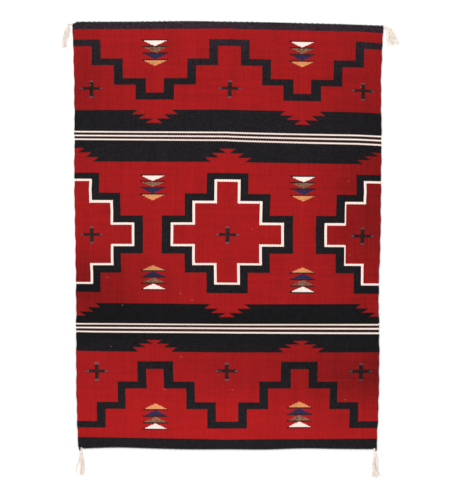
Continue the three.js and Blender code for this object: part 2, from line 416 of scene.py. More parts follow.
# the sheet stops this far short of the outline, for the end cords, and bulges a little at a rib
END_ROOM = 2.95
END_BULGE = 0.4
# how far in from the sheet's end, and the share of the full height there
ROUNDING = [(0, 0.5), (0.35, 0.86), (1.3, 1)]
rng = np.random.default_rng(1)
rib_lift = rng.random(WARPS) * RIB_SPREAD


def row_places(count):
    """Rows of the sheet: (share of the length, inset from the end, share of the full height)."""
    inner = [(k / count, 0, 1) for k in range(1, count)]
    return (
        [(0, inset, lift) for inset, lift in ROUNDING]
        + inner
        + [(1, -inset, lift) for inset, lift in reversed(ROUNDING)]
    )


def face_height(w, hump, above):
    """How high a face is over each place across it, from the valleys between ribs to the crests."""
    if not above:
        return UNDER_VALLEY + (UNDER_CREST - UNDER_VALLEY) * hump
    rib = np.minimum(w.astype(int), WARPS - 1)
    return RIB_VALLEY + (RIB_TOP - RIB_VALLEY) * hump - rib_lift[rib] * hump


def sheet_face(steps, rows, above):
    """Points and weave places of one face, as grids of columns by rows, and each column's warp."""
    w = 0.5 + np.arange((WARPS - 1) * steps + 1) / steps
    v, inset, lift = np.array(row_places(rows)).T
    u = w / WARPS
    hump = np.abs(np.sin(math.pi * w)) ** RIB_ROUND
    hump[(w < 1) | (w > WARPS - 1)] = 0
    low = bottom_y(u) + END_ROOM - END_BULGE * hump
    high = top_y(u) - END_ROOM + END_BULGE * hump
    y = low[:, None] + (high - low)[:, None] * v + inset
    share = np.clip((y - low[:, None]) / (high - low)[:, None], 0, 1)
    left, right = left_x(share), right_x(share)
    even = left + (right - left) * u[:, None]
    beads = np.stack([beads_up(even[k].mean(), y[k]) for k in range(len(w))])
    x = place_across(w[:, None] - WARPS / 2, beads, left, right)
    full = face_height(w, hump, above)
    middle = RIB_TOP / 2
    z = middle + (full - middle)[:, None] * (2 * lift - 1)
    z = np.where(lift == 1, full[:, None], z)
    weave = np.stack([np.broadcast_to(w[:, None], beads.shape), beads], axis=-1)
    return np.stack([x, y, z], axis=-1), weave, w


# %% The whole sheet
TOP_STEPS = 4
UNDER_STEPS = 2
TOP_ROWS = 56
UNDER_ROWS = 28
# the bake map: millimetres that fill it each way, and the share of it that the top face takes
BAKE_LONG = 1100
BAKE_WIDE = 800
BAKE_RISE = 400
TOP_SHARE = 0.74
BAKE_END = 0.98
BAKE_GAP = 0.01


def bake_places(points, below):
    """Both faces on one square, the long side across it. The underside is squeezed to fit."""
    u = 0.5 + points[:, 1] / BAKE_LONG
    across = 0.5 + points[:, 0] / BAKE_WIDE
    under = TOP_SHARE + BAKE_GAP + across * (BAKE_END - TOP_SHARE)
    over = across * TOP_SHARE + points[:, 2] / BAKE_RISE * BAKE_GAP
    return np.stack([u, np.where(below, under, over)], axis=-1)


def woven_sheet():
    """The closed sheet: two faces, and walls that join their edges."""
    top, top_weave, top_w = sheet_face(TOP_STEPS, TOP_ROWS, True)
    low, low_weave, low_w = sheet_face(UNDER_STEPS, UNDER_ROWS, False)
    points = np.concatenate([top.reshape(-1, 3), low.reshape(-1, 3)])
    weave = np.concatenate([top_weave.reshape(-1, 2), low_weave.reshape(-1, 2)])
    up = np.arange(top.shape[0] * top.shape[1]).reshape(top.shape[:2])
    down = up.size + np.arange(low.shape[0] * low.shape[1]).reshape(low.shape[:2])
    upper = grid_faces(up)
    lower = grid_faces(down, flip=True)
    y_up = top[0, :, 1]
    y_down = low[0, :, 1]
    walls = zipped(up[0], y_up, down[0], y_down)
    walls += zipped(down[-1], y_down, up[-1], y_up)
    walls += zipped(down[:, 0], low_w, up[:, 0], top_w)
    walls += zipped(up[:, -1], top_w, down[:, -1], low_w)
    faces = upper + walls + lower
    corner_of = np.concatenate(faces)
    below = np.arange(len(corner_of)) >= len(corner_of) - np.size(lower)
    bake = bake_places(points[corner_of], below)
    return new_piece("rug_cloth", points, faces, {"Weave": weave[corner_of], "OFBake": bake})


cloth = woven_sheet()
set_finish(cloth, "wool_cloth")
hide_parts("rug")

# %% [markdown]
# ## The turns at the sides
#
# At each side the weft turns round the last warps and goes back, so the side is a row of small
# smooth turns, a bead apart, and no separate cord shows. The sheet's own edge could be rounded off
# instead, but it has too few rows for the turns. A slim tube with one swelling for each bead makes
# them, and it hides the sheet's cut edge inside it.

# %% Side turns
EDGE_RADIUS = 1.75
TURN_SIDES = 8
TURN_ANGLES = TAU * np.arange(TURN_SIDES) / TURN_SIDES
TURN_SWELL = 0.16
TURN_TIP = 0.55
TURN_ROWS = (-336.5, 328.5)
RINGS_PER_BEAD = 2
TURN_STRIP = 0.1


def turn_rings(edge_x, inward):
    """Rings of points round the line of the turns, and the count in beads at each ring."""
    beads = np.arange(*TURN_ROWS, 1 / RINGS_PER_BEAD)
    y = height_of(float(edge_x(0.5)), beads)
    u = 0.0 if inward > 0 else 1.0
    low, high = bottom_y(u) + END_ROOM, top_y(u) - END_ROOM
    inside = (y > low) & (y < high)
    beads, y = beads[inside], y[inside]
    x = edge_x((y - low) / (high - low)) + inward * EDGE_RADIUS
    swell = TURN_SWELL * np.cos(TAU * (beads + 0.5))
    radius = EDGE_RADIUS - TURN_SWELL / 2 + swell / 2
    radius[[0, -1]] *= TURN_TIP
    ring_x = x[:, None] + radius[:, None] * np.cos(TURN_ANGLES)
    ring_z = EDGE_RADIUS + radius[:, None] * np.sin(TURN_ANGLES)
    ring_y = np.broadcast_to(y[:, None], ring_x.shape)
    return np.stack([ring_x, ring_y, ring_z], axis=-1), beads


def side_turns(name, edge_x, inward, rib):
    """A beaded tube along one side, counted like the cloth."""
    rings, beads = turn_rings(edge_x, inward)
    points = rings.reshape(-1, 3)
    faces = tube_faces(np.arange(len(points)).reshape(rings.shape[:2]), flip=True)
    corner_of = np.concatenate(faces)
    warps = rib + 0.5 + 0.4 * np.cos(TURN_ANGLES)
    weave = np.stack([np.tile(warps, len(beads)), np.repeat(beads, TURN_SIDES)], axis=-1)
    strip = np.tile(TURN_STRIP + TURN_STRIP * np.arange(TURN_SIDES), len(beads))
    bake = np.stack([0.5 + points[:, 1] / BAKE_LONG, strip], axis=-1)[corner_of]
    quads = bake[: 4 * (len(faces) - 2)].reshape(-1, 4, 2)
    wrapped = quads[..., 1] < quads[..., 1].max(axis=1, keepdims=True) - 3 * TURN_STRIP
    quads[..., 1] += wrapped * TURN_STRIP * TURN_SIDES
    made = new_piece(name, points, faces, {"Weave": weave[corner_of], "OFBake": bake})
    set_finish(made, "wool_cloth")
    return made


turns = [
    side_turns("side_turns_left", left_x, 1, 0),
    side_turns("side_turns_right", right_x, -1, WARPS - 1),
]

# %% [markdown]
# ## Yarn
#
# The cords, tails and tassels are all spun and plied yarn. A yarn could be a round tube with the
# twist in its bump, but at an edge or a cut end the plies show, and they catch the light. So a yarn
# is built the way it is spun: a line, then two or three lines wound round it, and those can be
# wound again into a cord. Each line becomes a thin tube, and all the tubes of a piece are one mesh.

# %% Yarn helpers
def running_length(points):
    """How far along a line each of its points is."""
    steps = np.linalg.norm(np.diff(points, axis=0), axis=1)
    return np.concatenate([[0.0], np.cumsum(steps)])


def smooth_line(knots, step):
    """Even steps along a smooth curve through a few points."""
    knots = np.asarray(knots, float)
    place = running_length(knots)
    slope = np.gradient(knots, place, axis=0)
    t = np.linspace(0, place[-1], max(round(place[-1] / step), 2) + 1)
    i = np.clip(np.searchsorted(place, t, side="right") - 1, 0, len(knots) - 2)
    gap = (place[i + 1] - place[i])[:, None]
    f = (t - place[i])[:, None] / gap
    return smooth_step(knots[i], knots[i + 1], slope[i] * gap, slope[i + 1] * gap, f)


def squares(points):
    """Two directions square to a line at each point, which turn as little as they can."""
    ahead = np.gradient(points, axis=0)
    ahead /= np.linalg.norm(ahead, axis=1)[:, None]
    side = np.cross(ahead, UP)
    for k in range(len(points)):
        last = side[k - 1] if k else side[0] + 1e-6
        side[k] = last - ahead[k] * (last @ ahead[k])
        side[k] /= math.sqrt(side[k] @ side[k])
    return side, np.cross(side, ahead)


def plied(line, plies, reach, pitch, phase=0.0):
    """Lines wound round one line, evenly spaced, with one turn every pitch."""
    side, rise = squares(line)
    turn = TAU * running_length(line) / pitch + phase
    made = []
    for k in range(plies):
        angle = (turn + TAU * k / plies)[:, None]
        made.append(line + reach * (np.cos(angle) * side + np.sin(angle) * rise))
    return made


def tapered(line, radius, tip=0.5, over=3):
    """A tube's radius along a line, thinner over its last few points at each end."""
    count = len(line)
    from_end = np.minimum(np.arange(count), np.arange(count)[::-1])
    return radius * (tip + (1 - tip) * np.clip(from_end / over, 0, 1))


# %% Strands as tubes
ALONG_MARGIN = 0.02
STRIP_MARGIN = 0.04
CAP_AT = 0.01
CAP_APART = 0.98
CAP_LONG = 0.006
CAP_WIDE = 0.4


def strand_maps(k, count, length, sides, shade):
    """The two maps of one strand's faces. Each strand has its own strip of the bake map."""
    share = ALONG_MARGIN + (1 - 2 * ALONG_MARGIN) * length / length[-1]
    around = (1 - 2 * STRIP_MARGIN) * np.arange(sides + 1) / sides
    strip = (k + STRIP_MARGIN + around) / count
    grid = np.stack(np.meshgrid(share, strip, indexing="ij"), axis=-1)
    bake = np.stack(four_corners(grid), axis=2).reshape(-1, 2)
    mm = np.broadcast_to(length[:, None], grid.shape[:2])
    mm = np.stack(four_corners(mm), axis=-1).ravel()
    turn = TAU * np.arange(sides) / sides
    cap_u = CAP_AT + CAP_LONG * np.cos(turn)
    cap_v = (k + 0.5 + CAP_WIDE * np.sin(turn)) / count
    cap = np.stack([cap_u, cap_v], axis=-1)
    mm = np.concatenate([mm, np.zeros(sides), np.full(sides, mm.max())])
    yarn = np.stack([mm, np.full(len(mm), shade)], axis=-1)
    return yarn, np.concatenate([bake, cap, cap + [CAP_APART, 0]])


def yarn_piece(name, strands, slot, sides=6):
    """One mesh of many strands, each a line and its radius along that line."""
    points, faces, maps = [], [], []
    turn = TAU * np.arange(sides) / sides
    shades = np.random.default_rng(len(name)).random(len(strands))
    base = 0
    for k, (line, radius) in enumerate(strands):
        side, rise = squares(line)
        ring = np.cos(turn)[:, None] * side[:, None] + np.sin(turn)[:, None] * rise[:, None]
        points.append((line[:, None] + radius[:, None, None] * ring).reshape(-1, 3))
        faces += tube_faces(base + np.arange(len(line) * sides).reshape(len(line), sides))
        maps.append(strand_maps(k, len(strands), running_length(line), sides, shades[k]))
        base += len(line) * sides
    yarn_map, bake_map = (np.concatenate(part) for part in zip(*maps))
    made = new_piece(name, np.concatenate(points), faces, {"Yarn": yarn_map, "OFBake": bake_map})
    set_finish(made, slot)
    return made


# %% [markdown]
# ## End cords
#
# Two black cords hold the loops of the warps at each end. They are twined, one passing over the
# other after every pair of warps, which gives the bottom edge its even scallops. At the top they
# were laid more loosely, so the humps there are longer. A rope made by an array along a curve
# would do, but winding the lines directly keeps each strand's length right on the uneven outline.
# At the top corners the ends of the cords are wrapped round once or twice and tucked in.

# %% Corner wraps
PLY_OUT = 0.46
PLY_PITCH = 4.6
WRAP_HEIGHT = 2.15
WRAP_LIFT = 1.15
WRAP_LONG = 3.4
WRAP_PLY = 0.5
WRAP_STEPS = 16
CORNER_WRAPS = [
    {"at": (-386.4, 523.6), "turns": 2.6, "radius": 1.5, "slant": 0.9},
    {"at": (387.8, 520.4), "turns": 2.2, "radius": 1.3, "slant": -0.5},
]


def corner_wrap(at, turns, radius, slant):
    """A few turns of one black strand over a corner."""
    t = np.linspace(0, 1, round(turns * WRAP_STEPS))
    angle = TAU * turns * t
    x = at[0] + radius * np.cos(angle) + slant * (t - 0.5) * 2
    y = at[1] + (t - 0.5) * WRAP_LONG
    z = WRAP_HEIGHT + WRAP_LIFT * np.sin(angle)
    line = np.stack([x, y, z], axis=-1)
    return [(ply, tapered(ply, WRAP_PLY)) for ply in plied(line, 2, PLY_OUT, PLY_PITCH)]


print(len(CORNER_WRAPS), "corner wraps on the top cord")

# %% End cords
CORD_REACH = 1.5
CORD_HEIGHT = 2.3
CORD_STEP = 0.85
STRAND_OUT = 1.14
PLY_RADIUS = 0.68
END_WANDER = 0.3
END_WANDER_COUNTS = (53, 71)
END_CORDS = [
    {
        "name": "end_cord_top",
        "span": (-387.5, 389.5),
        "humps": 57,
        "edge": top_y,
        "inward": -1,
        "wraps": CORNER_WRAPS,
    },
    {
        "name": "end_cord_bottom",
        "span": (-363.2, 364.8),
        "humps": 118,
        "edge": bottom_y,
        "inward": 1,
        "wraps": [],
    },
]


def end_cord(name, span, humps, edge, inward, wraps):
    """Two strands of two plies each, twined along one end of the cloth."""
    x = np.linspace(*span, round((span[1] - span[0]) / CORD_STEP))
    v = 0.0 if inward > 0 else 1.0
    u = np.clip((x - left_x(v)) / (right_x(v) - left_x(v)), 0, 1)
    uneven = END_WANDER * sum(np.sin(TAU * n * u + n) for n in END_WANDER_COUNTS)
    y = edge(u) + uneven + inward * CORD_REACH
    line = np.stack([x, y, np.full(len(x), CORD_HEIGHT)], axis=-1)
    pitch = 2 * running_length(line)[-1] / humps
    strands = []
    for strand in plied(line, 2, STRAND_OUT, pitch):
        for ply in plied(strand, 2, PLY_OUT, -PLY_PITCH):
            strands.append((ply, tapered(ply, PLY_RADIUS)))
    for row in wraps:
        strands += corner_wrap(**row)
    made = yarn_piece(name + "_twined", strands, "black_wool")
    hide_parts(name)
    return made


end_cords = [end_cord(**row) for row in END_CORDS]

# %% [markdown]
# ## Side cord tails
#
# Below the two lower corners the ends of the side cords stick out as short black points. Each is
# two strands of three plies, cut short and slightly frayed. A cone would have the outline, but not
# the twist or the uneven ends, so the tails are wound as the end cords are.

# %% Side cord tails
TAIL_START = 2.75
TAIL_TUCK = 3.0
TAIL_LENGTH = 7.6
TAIL_HEIGHT = 2.2
TAIL_BEND = 0.55
TAIL_STEP = 0.5
TAIL_STRAND = {"plies": 2, "reach": 1.0, "pitch": 9}
TAIL_PLY = {"plies": 3, "reach": 0.55, "pitch": -5}
TAIL_PLY_RADIUS = 0.6
TAILS = [
    {"name": "side_cord_tail_left", "x": -369.5, "u": 0.0, "lean": -0.3},
    {"name": "side_cord_tail_right", "x": 371.5, "u": 1.0, "lean": 0.2},
]


def cord_tail(name, x, u, lean):
    """A short plied end that comes out of the cloth, its plies cut at uneven lengths."""
    start = float(bottom_y(u)) + TAIL_START
    knots = [
        (x, start + TAIL_TUCK, TAIL_HEIGHT),
        (x, start, TAIL_HEIGHT),
        (x + lean, start - TAIL_LENGTH * TAIL_BEND, TAIL_HEIGHT),
        (x + 2 * lean, start - TAIL_LENGTH + 0.3, TAIL_HEIGHT - 0.1),
    ]
    strands = []
    for k, strand in enumerate(plied(smooth_line(knots, TAIL_STEP), **TAIL_STRAND)):
        for n, ply in enumerate(plied(strand, **TAIL_PLY)):
            cut = ply[: len(ply) - 2 * n - k]
            strands.append((cut, tapered(cut, TAIL_PLY_RADIUS, tip=0.4)))
    made = yarn_piece(name + "_plied", strands, "black_wool")
    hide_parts(name)
    return made


tails = [cord_tail(**row) for row in TAILS]

# %% [markdown]
# ## Corner tassels
#
# A bundle of cream wool is tied into each corner, knotted close to it and left loose. Loose yarns
# keep the crimp of the plying, cross over each other and end unevenly. Hair curves could make such
# a bundle, but these are yarns as thick as a matchstick and few enough to build one by one. Each
# runs along the bundle's middle line at its own place across it, with its own waves and height.

# %% Tassel tables
# root is where the tassel leaves its corner, and every other place is counted from it. A knot is
# its middle, half its length and width, and its heading in degrees. A section is a place on the
# bundle's middle line and how far the yarns spread to each side of it.
TASSELS = [
    {
        "name": "tassel_top_left",
        "root": (-389.2, 527.4),
        "tie": [(5, -1), (0, 0), (-4, 1.2), (-8, 1.2), (-10, 0)],
        "knot": (-10, 0, 3.2, 2.4, 178),
        "sections": [
            (-10.2, 0, 1.8),
            (-12.9, -15, 4.6),
            (-16.1, -28, 5.2),
            (-18.9, -41, 5.6),
            (-19.6, -62, 7.8),
        ],
        "yarns": 17,
        "strays": [[(-7.6, 0), (-5.6, -12), (-6.8, -23), (-9.2, -36)]],
    },
    {
        "name": "tassel_top_right",
        "root": (390.1, 520.3),
        "tie": [(-4, -1), (0, 0), (3, 0.6), (6, 0)],
        "knot": (4.4, -0.2, 3.2, 3.2, 0),
        "sections": [
            (5, 0.2, 2.2),
            (11, -2.8, 4),
            (17, -11, 6.2),
            (21.4, -25, 9),
            (27, -46, 14),
        ],
        "yarns": 21,
        "strays": [[(3.4, -2.6), (6, -11), (7.6, -20), (8.2, -30), (9.4, -38)]],
    },
    {
        "name": "tassel_bottom_left",
        "root": (-365.3, -532.6),
        "tie": [(0, 4), (0, 0), (0, -5), (-0.8, -10)],
        "knot": (-1.5, -12.4, 5, 3.6, 268),
        "sections": [(-1.5, -14, 2.4), (-0.6, -28, 3.9), (0.2, -42, 4.5), (1.4, -68, 4.9)],
        "yarns": 15,
        "strays": [
            [(-4, -14), (-7.6, -29), (-13, -46), (-14, -56), (-11, -63), (-6, -65)],
            [(-3, -16), (-6.8, -33), (-11.4, -47), (-12.2, -56), (-9, -61)],
            [(1.2, -14), (5.6, -28), (7, -42), (8.4, -53), (12.2, -60.5)],
        ],
    },
    {
        "name": "tassel_bottom_right",
        "root": (368.2, -535.4),
        "tie": [(0, 4), (0, 0), (0.3, -4), (0.8, -8)],
        "knot": (1.2, -10.4, 4, 3.6, 272),
        "sections": [
            (1.2, -12, 2.8),
            (2.4, -24, 4.9),
            (2, -38, 6.3),
            (1.8, -55, 8.6),
            (2.4, -72, 11.4),
        ],
        "yarns": 18,
        "strays": [],
    },
]
loose_yarns = sum(row["yarns"] + len(row["strays"]) for row in TASSELS)
print(loose_yarns, "loose yarns in", len(TASSELS), "tassels")

# %% Loose yarns
YARN_PLY = 0.42
YARN_OUT = 0.36
YARN_PITCH = 5.5
YARN_STEP = 1.0
YARN_REST = YARN_PLY + YARN_OUT
KNOT_HEIGHT = 2.35
LAYERS = (0.9, 2.0, 3.0)
LOOSE_AFTER = 12
CRIMP = 0.45
CRIMP_LONG = (9, 4)
DRIFT = 1.6
DRIFT_WIDE = 8
RISE = 0.35
RISE_LONG = 13
LAYER_SHARE = 0.6
SETTLE_AFTER = 9
SETTLE_POWER = 0.7
SINK_FROM = 0.6
SINK = 0.45


def two_ply(line, phase):
    """The two plies of one yarn, each a line and its radius."""
    plies = plied(line, 2, YARN_OUT, YARN_PITCH, phase)
    return [(ply, tapered(ply, YARN_PLY, tip=0.4, over=4)) for ply in plies]


def fan_line(sections, place, share, layer, draws):
    """One loose yarn of the bundle, as a wavy line that sinks to the floor at its end."""
    middle = smooth_line(sections, YARN_STEP)
    count = max(round(len(middle) * share), 4)
    middle = middle[:count]
    t = np.linspace(0, share, count)
    ahead = np.gradient(middle[:, :2], axis=0)
    ahead /= np.linalg.norm(ahead, axis=1)[:, None]
    across = np.stack([-ahead[:, 1], ahead[:, 0]], axis=-1)
    mm = running_length(middle[:, :2])
    loose = np.clip(mm / LOOSE_AFTER, 0, 1)
    crimp_long = CRIMP_LONG[0] + CRIMP_LONG[1] * draws[0]
    waves = CRIMP * loose * np.sin(TAU * mm / crimp_long + TAU * draws[1])
    drift = DRIFT * loose * np.sin(TAU * (t * (0.6 + draws[2]) + draws[3]))
    aside = place * middle[:, 2] + waves + drift * middle[:, 2] / DRIFT_WIDE
    flat = middle[:, :2] + across * aside[:, None]
    height = layer + RISE * np.sin(TAU * mm / RISE_LONG + TAU * draws[4]) * loose
    start = KNOT_HEIGHT + (layer - LAYERS[1]) * LAYER_SHARE
    z = start + (height - start) * np.clip(mm / SETTLE_AFTER, 0, 1) ** SETTLE_POWER
    sunk = 1 - SINK * np.clip((t - SINK_FROM) / (1 - SINK_FROM), 0, 1)
    return np.concatenate([flat, np.maximum(z * sunk, YARN_REST)[:, None]], axis=1)


# %% Knots and loose fibres
WRAP_PITCH = 1.7
WRAP_INSET = 0.8
WRAP_ROUND = 1.734
COIL_INSET = 0.9
COIL_STEPS = 20
OVER_INSET = 0.6
OVER_SLANT = 1.7
OVER_LIFT = 0.75
OVER_STEPS = 16
FIBRE_RADIUS = 0.07
FIBRE_LONG = (4, 6)
FIBRE_TURN = 2.2
FIBRE_CURL = 2.4


def knot_wraps(x, y, half_length, half_width, heading):
    """Turns of yarn round the bundle, and one that crosses over them."""
    a = math.radians(heading)
    ahead = np.array([math.cos(a), math.sin(a), 0])
    across = np.array([-math.sin(a), math.cos(a), 0])
    centre = np.array([x, y, KNOT_HEIGHT])
    turns = max(round(2 * half_length / WRAP_PITCH), 2)
    t = np.linspace(0, 1, turns * COIL_STEPS)
    angle = TAU * turns * t
    swell = np.sqrt(1 - WRAP_ROUND * (t - 0.5) ** 2)
    out = (half_width - WRAP_INSET) * swell
    lift = (KNOT_HEIGHT - WRAP_INSET) * swell
    slide = (t - 0.5) * 2 * (half_length - COIL_INSET)
    coil = centre + slide[:, None] * ahead + (out * np.cos(angle))[:, None] * across
    coil += (lift * np.sin(angle))[:, None] * UP
    s = np.linspace(0, 1, OVER_STEPS)[:, None]
    over = centre + (s - 0.5) * 2 * (half_length - OVER_INSET) * ahead
    over = over + (0.5 - s) * OVER_SLANT * (half_width - WRAP_INSET) * across
    over = over + np.sin(math.pi * s) * (KNOT_HEIGHT - OVER_LIFT) * UP
    return two_ply(coil, 0.0) + two_ply(over, 1.0)


def loose_fibre(line, draws):
    """A fine fibre that leaves a yarn and lies in a shallow curl beside it."""
    at = int(draws[0] * (len(line) - 6)) + 3
    ahead = line[at] - line[at - 1]
    heading = math.atan2(ahead[1], ahead[0]) + (draws[1] - 0.5) * FIBRE_TURN
    s = np.linspace(0, 1, 8)
    length = FIBRE_LONG[0] + FIBRE_LONG[1] * draws[2]
    bend = heading + (draws[3] - 0.5) * FIBRE_CURL * s
    x = line[at, 0] + length * np.cumsum(np.cos(bend)) / len(s)
    y = line[at, 1] + length * np.cumsum(np.sin(bend)) / len(s)
    z = np.maximum(line[at, 2] * (1 - s) + 0.2, 0.15)
    fibre = np.stack([x, y, z], axis=-1)
    return fibre, tapered(fibre, FIBRE_RADIUS, tip=0.4)


# %% Tassels
SPREAD = 0.96
SHORTEST = 0.13
STRAY_HEIGHT = 1.8
FIBRES = 46
TIE_HEIGHT = 1.75
TIE_STEP = 0.8
TIE = {"plies": 3, "reach": 0.72, "pitch": 10}


def bundle_lines(sections, yarns, strays, draws):
    """The middle lines of all the yarns that hang from one knot."""
    lines = []
    for k in range(yarns):
        place = (2 * (k + 0.5) / yarns - 1) * SPREAD + 0.1 * (draws.random() - 0.5)
        share = 1 - SHORTEST * draws.random() ** 1.5
        lines.append(fan_line(sections, place, share, LAYERS[k % len(LAYERS)], draws.random(5)))
    for points in strays:
        flat = smooth_line(points, YARN_STEP)
        z = np.linspace(STRAY_HEIGHT, YARN_REST, len(flat))
        lines.append(np.concatenate([flat, z[:, None]], axis=1))
    return lines


def tassel(name, root, tie, knot, sections, yarns, strays):
    """One corner's tie, knot, yarns and fibres, all in one piece."""
    draws = np.random.default_rng(sum(map(ord, name)))
    lines = bundle_lines(sections, yarns, strays, draws)
    strands = []
    for line in lines:
        strands += two_ply(line, TAU * draws.random())
    band = smooth_line([(x, y, TIE_HEIGHT) for x, y in tie], TIE_STEP)
    for strand in plied(band, **TIE):
        strands += two_ply(strand, TAU * draws.random())
    strands += knot_wraps(*knot)
    for _ in range(FIBRES):
        strands.append(loose_fibre(lines[draws.integers(len(lines))], draws.random(4)))
    shift = np.array([*root, 0])
    placed = [(line + shift, radius) for line, radius in strands]
    made = yarn_piece(name + "_yarns", placed, "cream_wool", sides=5)
    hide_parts(name)
    return made


tassels = [tassel(**row) for row in TASSELS]

# %% [markdown]
# ## Joining nodes
#
# The finishes below are made of many small sums, as a weaver's chart is. Adding each node by hand
# would hide the sense of them, so a small helper adds nodes and joins them, and its methods are
# named for what they do to a value.

# %% Node helper
class Net:
    """Adds nodes to one tree and joins them."""

    def __init__(self, tree):
        self.tree = tree
        self.count = 0

    def add(self, kind, **settings):
        node = self.tree.nodes.new(kind)
        for key, value in settings.items():
            setattr(node, key, value)
        node.location = (180 * (self.count % 24), -220 * (self.count // 24))
        self.count += 1
        return node

    def feed(self, socket, value):
        if isinstance(value, bpy.types.NodeSocket):
            self.tree.links.new(value, socket)
        elif value is not None:
            socket.default_value = value

    def math(self, operation, a, b=None, c=None, clamp=False):
        node = self.add("ShaderNodeMath", operation=operation, use_clamp=clamp)
        for socket, value in zip(node.inputs, (a, b, c)):
            self.feed(socket, value)
        return node.outputs[0]

    def plus(self, a, b):
        return self.math("ADD", a, b)

    def minus(self, a, b):
        return self.math("SUBTRACT", a, b)

    def times(self, a, b):
        return self.math("MULTIPLY", a, b)

    def size(self, a):
        return self.math("ABSOLUTE", a)

    def below(self, a, b):
        return self.math("LESS_THAN", a, b)

    def above(self, a, b):
        return self.math("GREATER_THAN", a, b)

    def between(self, a, low, high):
        return self.math("COMPARE", a, (low + high) / 2, (high - low) / 2)

    def both(self, *masks):
        made = masks[0]
        for mask in masks[1:]:
            made = self.times(made, mask)
        return made

    def either(self, *masks):
        made = masks[0]
        for mask in masks[1:]:
            made = self.math("MAXIMUM", made, mask)
        return made

    def least(self, *values):
        made = values[0]
        for value in values[1:]:
            made = self.math("MINIMUM", made, value)
        return made

    def pick(self, mask, when, otherwise):
        """One value where the mask is 1, and the other where it is 0."""
        node = self.add("ShaderNodeMix", data_type="FLOAT")
        for socket, value in zip(node.inputs[:1] + node.inputs[2:4], (mask, otherwise, when)):
            self.feed(socket, value)
        return node.outputs[0]

    def stair(self, value, start, steps):
        """start, changed by each step's rise once value passes the step's place."""
        made = start
        for place, rise in steps:
            made = self.math("MULTIPLY_ADD", self.above(value, place), rise, made)
        return made

    def vector(self, x, y, z=0.0):
        node = self.add("ShaderNodeCombineXYZ")
        for socket, value in zip(node.inputs, (x, y, z)):
            self.feed(socket, value)
        return node.outputs[0]

    def parts(self, vector):
        node = self.add("ShaderNodeSeparateXYZ")
        self.feed(node.inputs[0], vector)
        return node.outputs

    def noise(self, vector, scale, detail=2.0):
        node = self.add("ShaderNodeTexNoise", noise_dimensions="3D")
        self.feed(node.inputs["Vector"], vector)
        self.feed(node.inputs["Scale"], scale)
        node.inputs["Detail"].default_value = detail
        return node.outputs["Fac"]

    def chance(self, vector):
        node = self.add("ShaderNodeTexWhiteNoise", noise_dimensions="3D")
        self.feed(node.inputs["Vector"], vector)
        return node.outputs["Value"]

    def mixed(self, share, first, second):
        node = self.add("ShaderNodeMix", data_type="RGBA")
        for socket, value in zip(node.inputs[:1] + node.inputs[6:8], (share, first, second)):
            self.feed(socket, value)
        return node.outputs[2]

    def ramp(self, value, stops, interpolation="LINEAR"):
        node = self.add("ShaderNodeValToRGB")
        node.color_ramp.interpolation = interpolation
        self.feed(node.inputs[0], value)
        marks = node.color_ramp.elements
        while len(marks) < len(stops):
            marks.new(0.5)
        for mark, (place, colour) in zip(marks, stops):
            mark.position = place
            mark.color = (*colour, 1)
        return node.outputs[0]


def new_group(name, inputs, outputs):
    """An empty node group, its net, and the sockets that bring its inputs in."""
    tree = bpy.data.node_groups.new(name, "ShaderNodeTree")
    for in_out, sockets in (("INPUT", inputs), ("OUTPUT", outputs)):
        for title, kind, default in sockets:
            kind = "NodeSocket" + kind
            socket = tree.interface.new_socket(title, in_out=in_out, socket_type=kind)
            if default is not None:
                socket.default_value = default
    net = Net(tree)
    entry = net.add("NodeGroupInput")
    leave = net.add("NodeGroupOutput")
    return tree, net, entry.outputs, leave.inputs


def place_group(net, tree, **values):
    """Puts a group into a material and sets its inputs. An underscore stands for a space."""
    node = net.add("ShaderNodeGroup", node_tree=tree)
    for title, value in values.items():
        net.feed(node.inputs[title.replace("_", " ")], value)
    return node.outputs


# %% [markdown]
# ## Weave cells
#
# A pixel of the cloth belongs to one bead on one rib. This group finds that bead from the Weave
# map. Beads on odd ribs lie half a bead higher, as each pick goes over one warp and under the
# next. It gives back the chart place of the bead's middle, so that a bead has one colour all over
# and the figures get their toothed edges, and it gives the bead's rounded height. A brick texture
# looks close to this, but it can't say which brick a point is in.

# %% Weave cell group
BEAD_ROUND = 2.4
FURROW_ROUND = 4.0


def weave_cells():
    """Which bead a point is on, and where it is on that bead."""
    outputs = ["Chart X", "Chart Y", "Bead", "Furrow", "Cell", "Rib"]
    tree, net, given, out = new_group(
        "weave cells",
        [("Weave", "Vector", None)],
        [(title, "Float", None) for title in outputs],
    )
    rib_place, bead_place, _ = net.parts(given["Weave"])
    rib = net.math("FLOOR", rib_place)
    odd = net.times(net.math("MODULO", rib, 2.0), 0.5)
    raised = net.plus(bead_place, odd)
    pick = net.math("FLOOR", raised)
    net.feed(out["Chart X"], net.minus(rib, WARPS / 2 - 0.5))
    net.feed(out["Chart Y"], net.minus(net.plus(pick, 0.5), odd))
    up = net.math("MULTIPLY_ADD", net.math("FRACT", raised), 2.0, -1.0)
    side = net.math("MULTIPLY_ADD", net.math("FRACT", rib_place), 2.0, -1.0)
    net.feed(out["Bead"], net.minus(1.0, net.math("POWER", net.size(up), BEAD_ROUND)))
    net.feed(out["Furrow"], net.math("POWER", net.size(side), FURROW_ROUND))
    net.feed(out["Cell"], net.chance(net.vector(rib, pick)))
    net.feed(out["Rib"], net.chance(net.vector(rib, -7.0)))
    return tree


WEAVE_CELLS = weave_cells()
print(WEAVE_CELLS.name, "has", len(WEAVE_CELLS.nodes), "nodes")

# %% [markdown]
# ## The chart
#
# The pattern is a traditional one: black bars with toothed notches, white stripes, a terraced
# cross in the middle with half crosses at the sides, stepped lines, small dark crosses and stacks
# of small triangles. It is nearly the same to the left and right, and nearly the same above and
# below the middle, so the counts are folded first and each figure is drawn only once, over the
# ones before it. The chart gives each bead a number for its yarn, and the yarn's colour comes
# later. An image would be quick to place, but its beads would blur, and changing one count would
# mean painting again.

